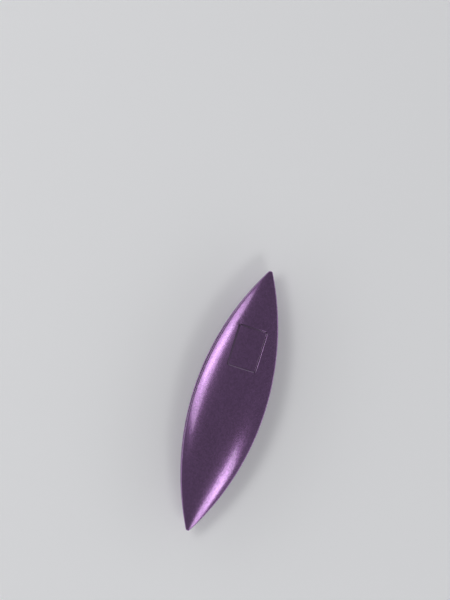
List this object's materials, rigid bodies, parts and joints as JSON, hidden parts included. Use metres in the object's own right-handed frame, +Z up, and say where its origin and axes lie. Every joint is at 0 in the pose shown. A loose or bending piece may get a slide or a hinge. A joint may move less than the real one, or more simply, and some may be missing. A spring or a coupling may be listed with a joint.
{
  "type": "tatting shuttle",
  "caption": "Pointed-oval post tatting shuttle: curved blades that meet at both tips, joined by a winding post with a crosswise thread hole.",
  "frame": {"origin": "centre of the post, which is the centre of the object's box, midway between the blades", "axes": "+X along the shuttle towards the tip with the recessed panel, +Y across it, +Z up through the upper blade"},
  "size_m": [0.07, 0.0188, 0.01],
  "materials": {
    "blade": "pearl gloss, lilac",
    "post": "pearl gloss, lilac"
  },
  "bodies": {
    "root": {"upper_blade": "blade", "lower_blade": "blade", "centre_post": "post"}
  },
  "joints": []
}
